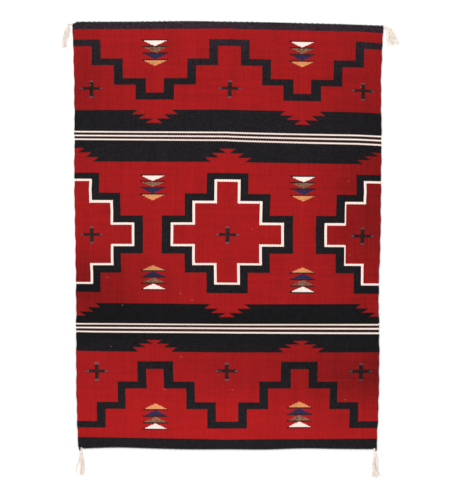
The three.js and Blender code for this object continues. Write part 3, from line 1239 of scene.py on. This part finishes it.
# %% Yarn numbers and colours
# each colour is red, green and blue as amounts of light; the mixed yarns vary from bead to bead
YARNS = [
    ("red", (0.365, 0.007, 0.008)),
    ("black", (0.0095, 0.0082, 0.0102)),
    ("cream", (0.99, 0.82, 0.74)),
    ("brown black", (0.028, 0.011, 0.010)),
    ("blue", (0.028, 0.021, 0.07)),
    ("gold", (0.75, 0.29, 0.11)),
    ("heather", (0.235, 0.097, 0.058)),
    ("lavender", (0.155, 0.08, 0.108)),
]
NUMBER = {name: k for k, (name, _) in enumerate(YARNS)}
MIXED_YARNS = ["black", "brown black", "heather"]
print("yarns:", ", ".join(NUMBER))

# %% Folded chart
FIGURE_CENTRE = 58
MIDDLE_OF_BARS = 150.0


class Chart:
    """The folded counts, and the yarn laid on them so far."""

    def __init__(self, net, x, y):
        self.net = net
        self.x = x
        self.y = y
        self.across = net.size(x)
        self.out = net.size(y)
        self.upper = net.above(y, 0.0)
        self.lower = net.minus(1.0, self.upper)
        self.outer = net.above(self.out, MIDDLE_OF_BARS)
        self.from_figure = self.aside(self.across, FIGURE_CENTRE)
        self.yarn = float(NUMBER["red"])

    def aside(self, place, other):
        """How far one place is from another."""
        return self.net.size(self.net.minus(place, other))

    def halves(self, table):
        """The number that a table gives for the upper or the lower half."""
        return self.net.pick(self.upper, float(table["upper"]), float(table["lower"]))

    def lay(self, mask, name):
        """Lays a yarn where the mask is 1, over what is there."""
        self.yarn = self.net.pick(mask, float(NUMBER[name]), self.yarn)


# %% [markdown]
# ### The stepped lines and the end bands
#
# A black line steps out and back round each large half figure, and a band closes each end. It
# could be built up from blocks, but a line between two stairs, one for its near edge and one for
# its far edge, needs fewer numbers and leaves no gap at the corners. The rug isn't quite the same
# below as above, so the lower half has numbers of its own.

# %% Stepped lines
END_BAND = 318.6
LOW_LINE_STRETCH = 1.05
LINE_NEAR = {
    "upper": {"start": 207.7, "steps": [(14.6, 23.9), (31.8, 31), (49.3, 29)]},
    "lower": {"start": 203.3, "steps": [(14.6, 28.3), (31.8, 31), (49.3, 29)]},
}
LINE_FAR = {
    "upper": {"start": 219.1, "steps": [(7.2, 23.3), (24.7, 31), (42.2, 29)]},
    "lower": {"start": 213.1, "steps": [(7.2, 29.3), (24.7, 31), (42.2, 29)]},
}


def stepped_lines(chart):
    """The black line between its two stairs, and the band beyond END_BAND."""
    net = chart.net
    wide = net.both(chart.lower, net.above(chart.across, FIGURE_CENTRE))
    from_line = net.times(chart.from_figure, net.pick(wide, LOW_LINE_STRETCH, 1.0))
    edges = []
    for rows in (LINE_NEAR, LINE_FAR):
        upper, lower = (net.stair(from_line, **rows[half]) for half in ("upper", "lower"))
        edges.append(net.pick(chart.upper, upper, lower))
    line = net.both(net.above(chart.out, edges[0]), net.below(chart.out, edges[1]))
    chart.lay(net.either(line, net.above(chart.out, END_BAND)), "black")


# %% [markdown]
# ### The bars and stripes
#
# Red notches with toothed sides are cut into the far side of one bar and the near side of the
# other. A wave texture has teeth too, but they wouldn't start on a whole pick. So each row of
# teeth is three widths in a stair, and every tooth flares out along its length, which is how a
# weaver makes a slant: one warp more every few picks.

# %% Bars and stripes
NOTCH_CENTRE = 119.4
NEAR_BAR = (110.6, 142.7)
FAR_BAR = (157.3, 191.4)
STRIPE_EDGES = [(143.8, 145.7), (149.3, 151.2), (154.8, 156.7)]
NOTCH_DEPTH = 21
TOOTH = 7
TOOTH_START = 13.0
TOOTH_BACK = [(7, -5.9), (14, -6)]
TOOTH_FLARE = 4.9


def bars_and_stripes(chart):
    """Two bars with notches, dark ground between them, and three stripes on it."""
    net, out = chart.net, chart.out
    depth = net.pick(chart.outer, net.minus(FAR_BAR[1], out), net.minus(out, NEAR_BAR[0]))
    from_inner = net.least(chart.across, chart.aside(chart.across, NOTCH_CENTRE))
    from_notch = net.pick(chart.outer, chart.from_figure, from_inner)
    flare = net.times(net.math("FRACT", net.times(depth, 1 / TOOTH)), TOOTH_FLARE)
    width = net.plus(net.stair(depth, TOOTH_START, TOOTH_BACK), flare)
    notch = net.both(net.below(depth, NOTCH_DEPTH), net.below(from_notch, width))
    bars = net.either(net.between(out, *NEAR_BAR), net.between(out, *FAR_BAR))
    chart.lay(net.both(bars, net.minus(1.0, notch)), "black")
    chart.lay(net.between(out, NEAR_BAR[1], FAR_BAR[0]), "brown black")
    stripes = [net.between(out, low, high) for low, high in STRIPE_EDGES]
    chart.lay(net.either(*stripes), "cream")


# %% [markdown]
# ### The terraced crosses
#
# Each cross is three figures laid one inside the other: black, then cream, then red. The cream
# could be drawn as a line of its own, but laying red over it makes its corners close by themselves.
# Only the half width changes from step to step. The half cross at the right leans in toward its
# tips, so its middle is a stair too.

# %% Terraced crosses
LEFT_CROSS = -116.8
RIGHT_CROSS = 119.8
RIGHT_CROSS_SHIFT = -1.5
RIGHT_CROSS_TOP = {"upper": -1.6, "lower": -2.4}
# longer is how many beads further the figure reaches in the lower half
TERRACES = [
    {
        "name": "black",
        "longer": 1.2,
        "half": 50.9,
        "steps": [(29.4, -17.7), (61.8, -17.3)],
        "end": {"upper": 93.6, "lower": 93.6},
    },
    {
        "name": "cream",
        "longer": 0,
        "half": 44.2,
        "steps": [(18.6, -17.4), (50.6, -16.9)],
        "end": {"upper": 83.6, "lower": 81.9},
    },
    {
        "name": "red",
        "longer": 0,
        "half": 42.3,
        "steps": [(15.4, -17.4), (47.4, -17)],
        "end": {"upper": 80.4, "lower": 78.7},
    },
]


def terrace(chart, name, longer, half, steps, end):
    """One figure of each of the three crosses."""
    net = chart.net
    depth = net.minus(chart.out, chart.halves({"upper": 0, "lower": longer}))
    right = net.stair(depth, RIGHT_CROSS, [(steps[0][0], RIGHT_CROSS_SHIFT)])
    tip = net.times(net.above(depth, steps[1][0]), chart.halves(RIGHT_CROSS_TOP))
    from_right = chart.aside(chart.x, net.plus(right, tip))
    from_cross = net.least(chart.across, chart.aside(chart.x, LEFT_CROSS), from_right)
    wide = net.below(from_cross, net.stair(depth, half, steps))
    chart.lay(net.both(wide, net.below(depth, chart.halves(end))), name)


# %% [markdown]
# ### The small crosses
#
# Nine small dark crosses of mixed wool stand in three rows, with a few paler beads at each tip.
# One cross could be repeated at even steps, but the real ones aren't quite even, so each column
# has its own place. The upright sits a little lower than the arms do, and is shorter in the lower
# half.

# %% Small crosses
SMALL_CROSSES = [-107.5, 0.8, 106.7]
LOW_SMALL_CROSS = -104.5
SMALL_CROSS_ROW = {"upper": 226, "lower": 216}
UPRIGHT_LONG = {"upper": 14, "lower": 13}
UPRIGHT_DROP = 1.5
UPRIGHT_WIDE = 1.7
ARM_LONG = 8.6
ARM_WIDE = 2.1
UPRIGHT_TIP = 2.8
ARM_TIP = 2.0
ARM_TIP_WIDE = 1.2


def small_crosses(chart):
    """Three across in every row, each an upright and two arms with pale tips."""
    net = chart.net
    left = net.pick(net.both(chart.outer, chart.lower), LOW_SMALL_CROSS, SMALL_CROSSES[0])
    places = [left, *SMALL_CROSSES[1:]]
    from_small = net.least(*(chart.aside(chart.x, place) for place in places))

    def from_row(level):
        return net.least(level, chart.aside(level, chart.halves(SMALL_CROSS_ROW)))

    arm_row = from_row(chart.out)
    upright_row = from_row(net.size(net.plus(chart.y, UPRIGHT_DROP)))
    long = chart.halves(UPRIGHT_LONG)
    upright = net.both(net.below(from_small, UPRIGHT_WIDE), net.below(upright_row, long))
    arm = net.both(net.below(from_small, ARM_LONG), net.below(arm_row, ARM_WIDE))
    chart.lay(net.either(upright, arm), "brown black")
    upright_tip = net.both(upright, net.above(upright_row, net.minus(long, UPRIGHT_TIP)))
    arm_end = net.above(from_small, ARM_LONG - ARM_TIP)
    arm_tip = net.both(arm, arm_end, net.below(arm_row, ARM_TIP_WIDE))
    chart.lay(net.either(upright_tip, arm_tip), "lavender")


# %% [markdown]
# ### The stacks of triangles
#
# At eight places four small triangles stand one above another. Each has a dark line along its wide
# side, which is the one away from the middle of the rug, and narrows toward the middle. They could
# be laid one by one, but what is left over when the count is divided by one triangle's height
# draws all four at once.

# %% Stacks of triangles
STACK_FAR = {"middle": 91.25, "upper": 302.25, "lower": 305.25}
LOW_RIGHT_STACK = {"middle": 3, "outer": -3}
STACK_UNIT = 10
STACK_UNITS = 4
STACK_LINE = 2
STACK_HALF = 9.0
STACK_LINE_HALF = 10.3
TRIANGLE_SHARE = 0.86
STACK_COLOURS = ["cream", "heather", "blue", "gold"]


def stacks(chart):
    """The dark lines first, then each triangle's colour over the one before it."""
    net = chart.net
    far_row = net.pick(chart.outer, chart.halves(STACK_FAR), float(STACK_FAR["middle"]))
    nudge = net.pick(chart.outer, *(float(LOW_RIGHT_STACK[row]) for row in ("outer", "middle")))
    low_right = net.both(chart.lower, net.above(chart.x, 0.0))
    reach = net.minus(net.plus(far_row, net.times(low_right, nudge)), chart.out)
    inside = net.between(reach, 0, STACK_UNIT * STACK_UNITS + STACK_LINE)
    dark = net.both(
        inside,
        net.below(net.math("MODULO", reach, STACK_UNIT), STACK_LINE + 0.5),
        net.below(reach, STACK_UNIT * STACK_UNITS),
        net.below(chart.from_figure, STACK_LINE_HALF),
    )
    chart.lay(dark, "brown black")
    below_line = net.minus(reach, STACK_LINE)
    drop = net.math("FRACT", net.times(below_line, 1 / STACK_UNIT))
    side = net.math("MULTIPLY_ADD", drop, -STACK_HALF / TRIANGLE_SHARE, STACK_HALF)
    narrow = net.below(chart.from_figure, side)
    triangle = net.both(inside, net.above(below_line, 0.0), narrow)
    for k, name in enumerate(STACK_COLOURS):
        chart.lay(net.both(triangle, net.above(below_line, STACK_UNIT * k)), name)


# %% Chart group
def rug_chart():
    """Lays every figure in turn and gives out the number of the yarn on top."""
    tree, net, given, out = new_group(
        "rug chart",
        [("Chart X", "Float", 0.0), ("Chart Y", "Float", 0.0)],
        [("Yarn", "Float", None)],
    )
    chart = Chart(net, given["Chart X"], given["Chart Y"])
    stepped_lines(chart)
    bars_and_stripes(chart)
    for row in TERRACES:
        terrace(chart, **row)
    small_crosses(chart)
    stacks(chart)
    net.feed(out["Yarn"], chart.yarn)
    return tree


RUG_CHART = rug_chart()
print(RUG_CHART.name, "has", len(RUG_CHART.nodes), "nodes")

# %% [markdown]
# ## Unevenly dyed wool, and painted shade
#
# Hand-dyed wool changes a little from batch to batch, which shows as bands across the rug, and
# uneven tension shows as streaks along the ribs. The sides are darker with painted shade, where
# the light falls off toward the edges. A single noise would look like stains. Several sources are
# added up instead: long streaks, fine bands, a small chance for each bead and rib, and a few large
# soft patches, given in counts from the middle: painted shade at the sides, and elsewhere partly
# painted shade and partly the wool's own colour. The black has two patches more: it is mixed
# toward a lighter purplish brown near the top, and it is deepest in the lower bars.

# %% Dye group
# patches of painted shade, darkest at the sides; inside they are partly the wool's own colour
SHADE_AND_DYE_PATCHES = [
    {"across": 121, "up": 70, "wide": 42, "long": 235, "change": -0.42},
    {"across": 121, "up": -225, "wide": 60, "long": 45, "change": -0.42},
    {"across": -121, "up": -90, "wide": 62, "long": 66, "change": -0.43},
    {"across": -120, "up": 215, "wide": 30, "long": 130, "change": -0.26},
    {"across": 20, "up": -205, "wide": 60, "long": 50, "change": -0.14},
    {"across": -15, "up": -295, "wide": 115, "long": 55, "change": 0.2},
    {"across": -20, "up": 250, "wide": 110, "long": 60, "change": -0.06},
]
STREAK = {"across": 0.12, "up": 0.012, "layer": 3.0, "detail": 4.0}
BAND = {"across": 0.018, "up": 0.16, "layer": 9.0, "detail": 2.0}
RIB_GRAIN = 0.45
GRAIN_MIDDLE = 0.725
# the black near the top is mixed toward this lighter purplish brown
PURPLISH_TOP_BLACK = (0.030, 0.017, 0.025, 1)
BLACK_TOP_PATCH = {"across": 0, "up": 345, "wide": 400, "long": 66, "change": 1.0}
BLACK_DEPTH = {"across": 0, "up": -135, "wide": 400, "long": 50, "change": -0.5}


def soft_patch(net, x, y, across, up, wide, long, change):
    """A soft round change of shade about one place on the chart."""
    aside = net.math("POWER", net.times(net.minus(x, float(across)), 1 / wide), 2.0)
    along_it = net.math("POWER", net.times(net.minus(y, float(up)), 1 / long), 2.0)
    return net.times(net.math("EXPONENT", net.times(net.plus(aside, along_it), -1.0)), change)


def stretched_noise(net, x, y, across, up, layer, detail):
    """A noise with its own scale across and up the chart, as much below 0 as above."""
    place = net.vector(net.times(x, across), net.times(y, up), layer)
    return net.minus(net.noise(place, 1.0, detail), 0.5)


def uneven_dye_and_shade():
    """Adds up all the changes of shade, about 1."""
    tree, net, given, out = new_group(
        "uneven dye",
        [
            ("Chart X", "Float", 0.0),
            ("Chart Y", "Float", 0.0),
            ("Cell", "Float", 0.5),
            ("Rib", "Float", 0.5),
            ("Streaks", "Float", 0.3),
            ("Bands", "Float", 0.34),
            ("Grain", "Float", 0.2),
        ],
        [("Shade", "Float", None)],
    )
    x, y = given["Chart X"], given["Chart Y"]
    streak = stretched_noise(net, x, y, **STREAK)
    band = stretched_noise(net, x, y, **BAND)
    shade = net.math("MULTIPLY_ADD", streak, given["Streaks"], 1.0)
    shade = net.math("MULTIPLY_ADD", band, given["Bands"], shade)
    # the soft patches add painted shade, and partly also the wool's own changes of colour
    for row in SHADE_AND_DYE_PATCHES:
        shade = net.plus(shade, soft_patch(net, x, y, **row))
    grain = net.math("MULTIPLY_ADD", given["Rib"], RIB_GRAIN, given["Cell"])
    grain = net.minus(grain, GRAIN_MIDDLE)
    net.feed(out["Shade"], net.math("MULTIPLY_ADD", grain, given["Grain"], shade))
    return tree


UNEVEN_DYE_AND_SHADE = uneven_dye_and_shade()
print(UNEVEN_DYE_AND_SHADE.name, "has", len(UNEVEN_DYE_AND_SHADE.nodes), "nodes and", len(SHADE_AND_DYE_PATCHES), "patches")

# %% [markdown]
# ## Wool fibre
#
# Close up, wool yarn is a mass of fine curled fibres that break up the light. A fine noise, once
# for shade and once for height, is enough for them at any distance from which a rug is seen.

# %% Fibre group
def wool_fibre():
    """Fine changes of shade and height at the scale of single fibres."""
    tree, net, given, out = new_group(
        "wool fibre",
        [("Place", "Vector", None), ("Scale", "Float", 1500.0), ("Depth", "Float", 0.3)],
        [("Shade", "Float", None), ("Height", "Float", None)],
    )
    fine = net.noise(given["Place"], given["Scale"], detail=3.0)
    spread = net.minus(fine, 0.5)
    net.feed(out["Shade"], net.math("MULTIPLY_ADD", spread, given["Depth"], 1.0))
    net.feed(out["Height"], fine)
    return tree


WOOL_FIBRE = wool_fibre()
print(WOOL_FIBRE.name, "has", len(WOOL_FIBRE.nodes), "nodes")

# %% [markdown]
# ## Wool cloth
#
# The cloth's material reads the bead, looks up its yarn, and shades it. The black, the brown black
# and the heather vary from bead to bead, and the undyed cream keeps only a small change from bead
# to bead: it takes none of the others' streaks, bands or soft patches of painted shade. Painted
# shade darkens the beads in the furrows between ribs and at the lines between picks. The beads'
# height goes to the bump, as does the fibre. Wool is matt, with a faint sheen from its fibres where
# it is seen at a low angle. A few pale flecks of stray fibre lie on single beads.

# %% Material helpers
WOOL_GLOSS = 0.12
SHEEN_ROUGHNESS = 0.5


def new_material(name, roughness, sheen):
    """A matt material for wool, its net and its shader."""
    material = bpy.data.materials.new(name)
    material.use_nodes = True
    shader = material.node_tree.nodes["Principled BSDF"]
    shader.inputs["Roughness"].default_value = roughness
    shader.inputs["Specular IOR Level"].default_value = WOOL_GLOSS
    shader.inputs["Sheen Weight"].default_value = sheen
    shader.inputs["Sheen Roughness"].default_value = SHEEN_ROUGHNESS
    return material, Net(material.node_tree), shader


def add_bump(net, shader, height, distance, strength):
    """Tilts the shader's normal by a height over the surface."""
    node = net.add("ShaderNodeBump")
    node.inputs["Strength"].default_value = strength
    node.inputs["Distance"].default_value = distance
    net.feed(node.inputs["Height"], height)
    net.feed(shader.inputs["Normal"], node.outputs[0])


def shaded(net, colour, *shades):
    """A colour made darker or lighter by every shade."""
    node = net.add("ShaderNodeVectorMath", operation="SCALE")
    net.feed(node.inputs[0], colour)
    net.feed(node.inputs["Scale"], net.both(*shades))
    return node.outputs[0]


# %% Wool cloth material
# how much each shade changes with the value it is made from, and the shade where that is 0
MOTTLE = (1.1, 0.5)
CREAM_SHADE = (0.12, 0.94)
# painted shade: beads darker in the furrows between ribs and at the seams between picks
FURROW_PAINTED_SHADE = (-0.42, 1.0)
SEAM_PAINTED_SHADE = (0.3, 0.78)
FLECK_FROM = 0.99988
FLECK_SHARE = 0.4
FLECK_COLOUR = (0.45, 0.33, 0.25, 1)
FIBRE_HEIGHT = 0.35
BEAD_BUMP = 0.3


def yarn_colour(net, yarn, black, x, y):
    """The colour of each yarn, with the black mixed toward a lighter purplish brown at the top."""
    step = 1 / len(YARNS)
    stops = [(k * step, colour) for k, (_, colour) in enumerate(YARNS)]
    palette = net.ramp(net.math("MULTIPLY_ADD", yarn, step, step / 2), stops, "CONSTANT")
    top_share = net.times(black, soft_patch(net, x, y, **BLACK_TOP_PATCH))
    return net.mixed(top_share, palette, PURPLISH_TOP_BLACK)


def wool_cloth():
    """The woven cloth: bead, yarn, dyeing, fibre, painted shade in the soft patches, furrows and
    seams, and the bump of the beads and the fibre.
    """
    material, net, shader = new_material("wool_cloth_woven", 0.92, 0.08)
    weave_map = net.add("ShaderNodeUVMap", uv_map="Weave")
    place = net.add("ShaderNodeTexCoord").outputs["Object"]
    cell = place_group(net, WEAVE_CELLS, Weave=weave_map.outputs[0])
    chart = {"Chart_X": cell["Chart X"], "Chart_Y": cell["Chart Y"]}
    yarn = place_group(net, RUG_CHART, **chart)["Yarn"]

    def made_of(name):
        return net.between(yarn, NUMBER[name] - 0.5, NUMBER[name] + 0.5)

    black = made_of("black")
    colour = yarn_colour(net, yarn, black, *chart.values())
    deep = soft_patch(net, *chart.values(), **BLACK_DEPTH)
    deep = net.math("MULTIPLY_ADD", black, deep, 1.0)
    mottled = net.either(*(made_of(name) for name in MIXED_YARNS))
    mottle = net.pick(mottled, net.math("MULTIPLY_ADD", cell["Cell"], *MOTTLE), 1.0)
    # changes of the wool's colour, with the painted shade of the soft patches
    dye_and_shade = place_group(net, UNEVEN_DYE_AND_SHADE, Cell=cell["Cell"], Rib=cell["Rib"], **chart)["Shade"]
    undyed = net.math("MULTIPLY_ADD", cell["Cell"], *CREAM_SHADE)
    dye_and_shade = net.pick(made_of("cream"), undyed, dye_and_shade)
    fibre = place_group(net, WOOL_FIBRE, Place=place, Scale=1400.0, Depth=0.35)
    # painted shade in the furrows between ribs and at the seams between picks
    furrow = net.math("MULTIPLY_ADD", cell["Furrow"], *FURROW_PAINTED_SHADE)
    seam = net.math("MULTIPLY_ADD", cell["Bead"], *SEAM_PAINTED_SHADE)
    colour = shaded(net, colour, dye_and_shade, deep, mottle, fibre["Shade"], furrow, seam)
    fleck = net.above(cell["Cell"], FLECK_FROM)
    colour = net.mixed(net.times(fleck, FLECK_SHARE), colour, FLECK_COLOUR)
    net.feed(shader.inputs["Base Color"], colour)
    height = net.math("MULTIPLY_ADD", fibre["Height"], FIBRE_HEIGHT, cell["Bead"])
    add_bump(net, shader, height, BEAD_BUMP * MM, 0.7)
    return material


# %% [markdown]
# ## Yarn of the cords and tassels
#
# The cords are the same black wool as the bars, and the tassels are undyed cream. Both take one
# pattern of nodes with their own colours: a shade for each ply, slow changes along it, and fibre.
# The tassels' dark tan is partly the wool's own tone and partly painted shade, as between strands.

# %% Yarn materials
SLOW_ALONG = 0.16
SLOW_APART = 60.0
SLOW_SHARE = 0.7
PLY_BUMP = 0.2


def wool_yarn(name, light, dark, sheen):
    """Plied yarn that changes slowly between a light and a dark colour."""
    material, net, shader = new_material(name, 0.9, sheen)
    yarn_map = net.add("ShaderNodeUVMap", uv_map="Yarn")
    place = net.add("ShaderNodeTexCoord").outputs["Object"]
    mm, ply, _ = net.parts(yarn_map.outputs[0])
    slow = net.noise(net.vector(net.times(mm, SLOW_ALONG), net.times(ply, SLOW_APART)), 1.0)
    own = net.times(ply, 1 - SLOW_SHARE)
    share = net.math("ADD", net.times(slow, SLOW_SHARE), own, clamp=True)
    colour = net.mixed(share, (*dark, 1), (*light, 1))
    fibre = place_group(net, WOOL_FIBRE, Place=place, Scale=1900.0, Depth=0.3)
    net.feed(shader.inputs["Base Color"], shaded(net, colour, fibre["Shade"]))
    add_bump(net, shader, fibre["Height"], PLY_BUMP * MM, 0.8)
    return material


CLOTH_FINISH = wool_cloth()
BLACK_FINISH = wool_yarn("black_wool_plied", (0.016, 0.013, 0.017), (0.007, 0.006, 0.008), 0.08)
# the dark tan plies are partly painted shade, such as falls between the tassel's strands
CREAM_FINISH = wool_yarn("cream_wool_plied", (1.0, 0.98, 0.94), (0.91, 0.745, 0.635), 0.3)
FINISHES = {"wool_cloth": CLOTH_FINISH, "black_wool": BLACK_FINISH, "cream_wool": CREAM_FINISH}
pieces = [cloth, *turns, *end_cords, *tails, *tassels]
for piece in pieces:
    piece.data.materials.append(FINISHES[piece["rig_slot"]])
print(len(pieces), "pieces finished")
